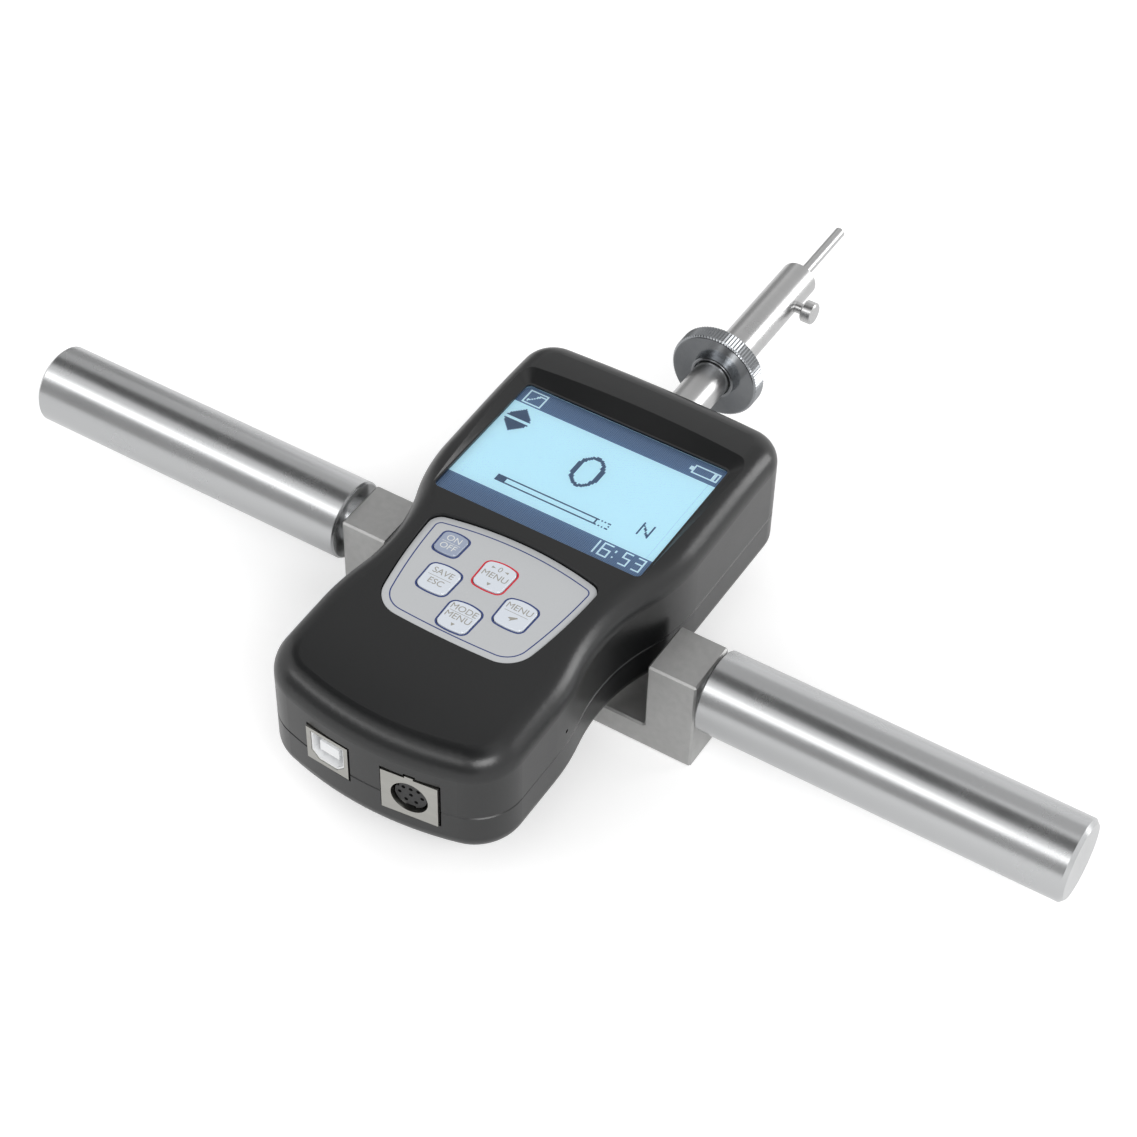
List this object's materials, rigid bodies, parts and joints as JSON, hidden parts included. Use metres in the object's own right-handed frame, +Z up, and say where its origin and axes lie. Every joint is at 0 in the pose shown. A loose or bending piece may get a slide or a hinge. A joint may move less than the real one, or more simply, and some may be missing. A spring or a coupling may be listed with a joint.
{
  "type": "force gauge",
  "caption": "Handheld digital force gauge on a U bracket with two turned handles, a measuring rod with lock nut, adapter and probe pin",
  "frame": {"origin": "middle of the bracket's flat underside, which rests on the bench", "axes": "+X along the right-hand handle, +Y along the measuring axis towards the probe, +Z up out of the display"},
  "size_m": [0.2974, 0.2357, 0.0486],
  "materials": {
    "housing": "satin",
    "film": "satin",
    "power_key": "satin",
    "keys": "satin",
    "window": "gloss",
    "display": "gloss",
    "internals": "matte",
    "boards": "satin",
    "battery": "satin",
    "plates": "satin",
    "usb_insert": "satin",
    "data_insert": "satin",
    "turned_steel": "satin",
    "polished_steel": "polished",
    "bracket": "satin",
    "aluminium_parts": "satin",
    "screws": "satin"
  },
  "bodies": {
    "root": {"upper_housing": "housing", "lower_housing": "housing", "display_glass": "window", "display_panel": "display", "display_backlight": "internals", "keypad_film": "film", "dome_sheet": "internals", "circuit_board": "boards", "socket_board": "boards", "usb_shell": "plates", "usb_insert": "usb_insert", "data_shell": "plates", "data_insert": "data_insert", "battery_pack": "battery", "load_cell": "aluminium_parts", "chassis": "aluminium_parts", "cell_screw": "screws", "sensor_rod": "polished_steel", "bracket": "bracket", "bracket_spacer": "bracket", "bracket_screws": "screws", "case_screws": "screws", "board_screws": "screws", "socket_board_screws": "screws", "left_handle": "turned_steel", "right_handle": "turned_steel", "handle_studs": "screws"},
    "power_key": {"key_power": "power_key"},
    "zero_key": {"key_zero": "keys"},
    "save_key": {"key_save": "keys"},
    "menu_key": {"key_menu": "keys"},
    "mode_key": {"key_mode": "keys"},
    "nut": {"lock_nut": "turned_steel"},
    "adapter": {"adapter_sleeve": "polished_steel"},
    "probe": {"probe_pin": "polished_steel"},
    "clamp_screw": {"thumb_screw": "polished_steel"}
  },
  "joints": [
    {"name": "power_key_press", "type": "slide", "parent": "root", "child": "power_key", "axis": [0, 0, -1], "range_m": [0, 0.0004], "stiffness_N_per_m": 1000},
    {"name": "zero_key_press", "type": "slide", "parent": "root", "child": "zero_key", "axis": [0, 0, -1], "range_m": [0, 0.0004], "stiffness_N_per_m": 1000},
    {"name": "save_key_press", "type": "slide", "parent": "root", "child": "save_key", "axis": [0, 0, -1], "range_m": [0, 0.0004], "stiffness_N_per_m": 1000},
    {"name": "menu_key_press", "type": "slide", "parent": "root", "child": "menu_key", "axis": [0, 0, -1], "range_m": [0, 0.0004], "stiffness_N_per_m": 1000},
    {"name": "mode_key_press", "type": "slide", "parent": "root", "child": "mode_key", "axis": [0, 0, -1], "range_m": [0, 0.0004], "stiffness_N_per_m": 1000},
    {"name": "lock_nut_turn", "type": "hinge", "parent": "root", "child": "nut", "pos_m": [0, 0.0902, 0.0293], "axis": [0, 1, 0], "continuous": true},
    {"name": "adapter_turn", "type": "hinge", "parent": "root", "child": "adapter", "pos_m": [0, 0.0955, 0.0293], "axis": [0, 1, 0], "continuous": true},
    {"name": "probe_slide", "type": "slide", "parent": "adapter", "child": "probe", "axis": [0, 1, 0], "range_m": [0, 0.012]},
    {"name": "clamp_screw_turn", "type": "hinge", "parent": "adapter", "child": "clamp_screw", "pos_m": [0.00525, 0.1271, 0.0293], "axis": [1, 0, 0], "continuous": true}
  ]
}
